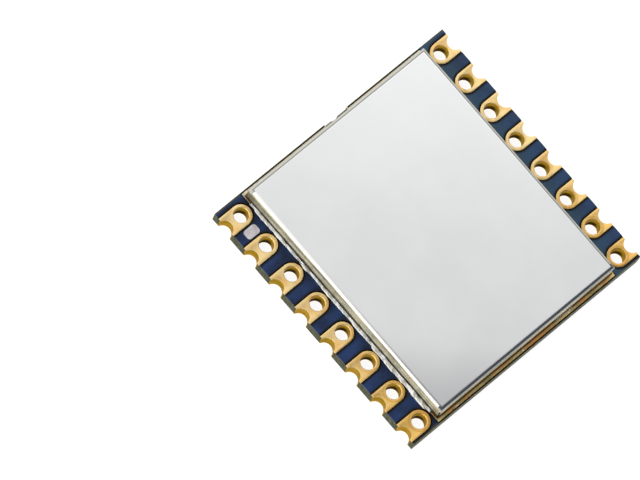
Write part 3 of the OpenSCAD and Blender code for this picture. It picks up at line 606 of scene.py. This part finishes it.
def softened(node, slot, edge, name, segments=2, share=None):
    """A copy of a node with its sharp edges rounded, which stands for that node.
    share gives the part of the rounding that an edge gets, from its middle in millimetres."""
    piece = merged_copy(node, name)
    limit = dict(limit_method="ANGLE", angle_limit=math.radians(40))
    if share:
        mesh = piece.data
        weights = mesh.attributes.new("bevel_weight_edge", "FLOAT", "EDGE")
        for line, weight in zip(mesh.edges, weights.data):
            weight.value = share(sum((mesh.vertices[v].co for v in line.vertices), Vector()) / (2 * MM))
        limit = dict(limit_method="WEIGHT")
    apply_modifier(piece, "BEVEL", width=edge * MM, segments=segments, use_clamp_overlap=True, **limit)
    alone(piece)
    bpy.ops.object.shade_smooth_by_angle(angle=math.radians(35))
    return dress(piece, slot, (node,))


def terminal_share(row_x, y):
    """A terminal's outline is well rounded on both faces, its hole and its notch hardly, the rest not."""
    face_gap, end_gap = 0.005, 0.01
    hole_reach = 0.5
    notch_beyond, notch_reach = 0.1, 0.53
    hardly, well = 0.25, 1.0

    def share(middle):
        if min(abs(middle.z), abs(middle.z - LAND_Z)) > face_gap:
            return 0.0
        at_hole = math.hypot(middle.x - row_x, middle.y - y) < hole_reach
        at_notch = math.hypot(abs(middle.x) - BOARD_HALF - notch_beyond, middle.y - y) < notch_reach
        at_edge = abs(middle.x) > BOARD_HALF - end_gap
        return hardly if at_hole or at_notch or at_edge else well

    return share


def solder_run(beyond, y, width, length):
    """A low bar of solder that lies on the ring. beyond is how far past the can's wall, to -X if negative."""
    x = CAN_X + math.copysign(CAN_HALF_W, beyond) + beyond
    place = (x * MM, y * MM, (LAND_Z + 0.035) * MM)
    bpy.ops.mesh.primitive_cube_add(size=MM, location=place, scale=(width, length, 0.11))
    return bpy.context.object


def solder_bead():
    """The solder along the can's long walls: the node's own fillet, run out over the ring and uneven."""
    pieces = [merged_copy("can_solder", "can_solder_bead")]
    for beyond in (-0.095, 0.095):
        pieces.append(solder_run(beyond, 0, 0.19, 2 * CAN_HALF_L - 0.9))
    pieces.append(solder_run(-0.13, -4.7, 0.24, 4.2))
    piece = joined(pieces, "can_solder_bead")
    enlarge(piece, 1 / MM)
    apply_modifier(piece, "REMESH", mode="VOXEL", voxel_size=0.035)
    apply_modifier(piece, "SMOOTH", factor=0.5, iterations=4)
    swell = bpy.data.textures.new("solder_swell", "CLOUDS")
    swell.noise_scale = 0.55
    apply_modifier(piece, "DISPLACE", texture=swell, texture_coords="LOCAL", strength=0.16, mid_level=0.52)
    enlarge(piece, MM)
    bpy.ops.object.shade_smooth()
    return dress(piece, "solder", ("can_solder",))


def enlarge(piece, factor):
    alone(piece)
    bpy.ops.transform.resize(value=(factor, factor, factor), center_override=(0, 0, 0))
    bpy.ops.object.transform_apply(location=True, rotation=True, scale=True)


def numbered(text, x, y, height):
    """A printed number on the underside, read from below with -Y up."""
    size_for_height, bold, clear = 1.38, 0.03, 0.003
    bpy.ops.object.select_all(action="DESELECT")
    bpy.ops.object.text_add(location=(x * MM, y * MM, 0), rotation=(math.pi, 0, 0))
    words = bpy.context.object
    words.data.body = text
    words.data.align_x, words.data.align_y = "CENTER", "CENTER"
    words.data.size = height * size_for_height * MM
    words.data.offset = bold * MM
    words.data.space_character = 1.1
    words.data.extrude = (THIN_MASK_Z - clear) / 2 * MM
    words.location.z = (THIN_MASK_Z + clear) / 2 * MM
    words.data.resolution_u = 4
    bpy.ops.object.convert(target="MESH")
    return bpy.context.object


def joined(pieces, name):
    bpy.ops.object.select_all(action="DESELECT")
    for piece in pieces:
        piece.select_set(True)
    bpy.context.view_layer.objects.active = pieces[0]
    bpy.ops.object.join()
    pieces[0].name = name
    return pieces[0]


# Floor and light

def lay_floor():
    bpy.ops.object.select_all(action="DESELECT")
    bpy.ops.mesh.primitive_plane_add(size=4, location=(0, 0, -0.00002))
    floor = bpy.context.object
    floor.name = "studio_floor"
    floor.data.materials.append(floor_finish())


def soft_light(name, place, aim, size, watts):
    data = bpy.data.lights.new(name, "AREA")
    data.shape, data.size, data.size_y = "RECTANGLE", size[0], size[1]
    data.energy = watts
    light = bpy.data.objects.new(name, data)
    light.location = place
    light.rotation_mode = "QUATERNION"
    light.rotation_quaternion = (Vector(place) - Vector(aim)).to_track_quat("Z", "Y")
    light.visible_camera = False
    bpy.context.scene.collection.objects.link(light)


def light_studio():
    """A white tent, brightest low at the left, dark round the lens and at the front, and one soft panel."""
    world = bpy.data.worlds.new("studio")
    world.use_nodes = True
    bpy.context.scene.world = world
    w = Wiring(world.node_tree)
    way = w.node("ShaderNodeTexCoord").outputs["Generated"]
    way_x, way_y, height = w.axes_of(way)
    tent = w.remap(height, 0.55, 0.80, 1.2, 1.02, smooth=True)
    left_strip = w.times(w.remap(way_x, -0.5, -0.8, 0.0, 0.9), w.remap(height, 0.30, 0.48, 1.0, 0.0))
    tent = w.plus(tent, left_strip)

    mirrored_lens = Vector((0.0, -0.35, 0.94)).normalized()
    shade_edge, shade_core = (math.cos(math.radians(a)) for a in (27, 19))
    lens = w.node("ShaderNodeVectorMath", operation="DOT_PRODUCT")
    w.feed(lens.inputs[0], way)
    w.feed(lens.inputs[1], mirrored_lens)
    shade = w.remap(lens.outputs["Value"], shade_edge, shade_core, 1.0, 0.06, smooth=True)
    front_card = w.remap(way_y, -0.50, -0.30, 0.92, 0.0, smooth=True)
    shade = w.times(shade, w.minus(1.0, front_card))
    background = world.node_tree.nodes["Background"]
    w.feed(background.inputs["Strength"], w.times(tent, shade))
    background.inputs["Color"].default_value = (1, 1, 1, 1)
    soft_light("panel", (0.045, 0.038, 0.070), (0, 0, 0), (0.06, 0.06), 0.0056)
    bpy.context.scene.view_settings.view_transform = "Standard"


lay_floor()
light_studio()


# The module

def terminal_spot(i):
    """A terminal's side, 0 for -X and 1 for +X, and its y, counted down one side and back up the other."""
    if i <= PER_SIDE:
        return 0, FIRST_Y - PITCH * (i - 1)
    return 1, FIRST_Y - PITCH * (2 * PER_SIDE - i)


for i in range(1, 2 * PER_SIDE + 1):
    side, y = terminal_spot(i)
    share = terminal_share(ROW_X[side], y)
    softened(f"castellated_terminal_{i:02d}", "gold_plating", 0.055, f"terminal_plate_{i:02d}", 4, share)

softened("shield_can", "can_sheet", 0.02, "can_shell")
softened("radio_chip", "chip_moulding", 0.03, "radio_chip_body")
softened("crystal_base", "crystal_ceramic", 0.04, "crystal_body")
softened("crystal_lid", "lid_plating", 0.05, "crystal_cap", segments=3)
softened("antenna_switch", "chip_moulding", 0.03, "antenna_switch_body")
softened("capacitor_ends", "tinned_ends", 0.05, "capacitor_caps", segments=3)
softened("resistor_ends", "tinned_ends", 0.03, "resistor_caps")
softened("inductor_ends", "tinned_ends", 0.05, "inductor_caps", segments=3)
# the tab slots' solder takes the darkened finish, painted shade
softened("tab_solder", "solder", 0.04, "tab_solder_fill").data.materials[0] = SHADED_SOLDER
solder_bead()

slot_of = {part["node"]: part["material_slot"] for part in frame["record"]["subparts"]}
for node, shape in frame["nodes"].items():
    for holder in shape.material_slots:
        holder.material = STAINED if node == "ground_ring" else FINISH[slot_of[node]]

labels = []
for i in range(1, 2 * PER_SIDE + 1):
    side, y = terminal_spot(i)
    labels.append(numbered(str(i), NUMBER_X[side], y, NUMBER_HEIGHT))
for k in range(TABLE_ROWS):
    row_y = TABLE_START_Y + TABLE_ROW * (k + 0.5)
    labels.append(numbered(f"{k + 1}00", TABLE_X, row_y, TABLE_NUMBER_HEIGHT))
dress(joined(labels, "underside_numbers"), "pale_ink")
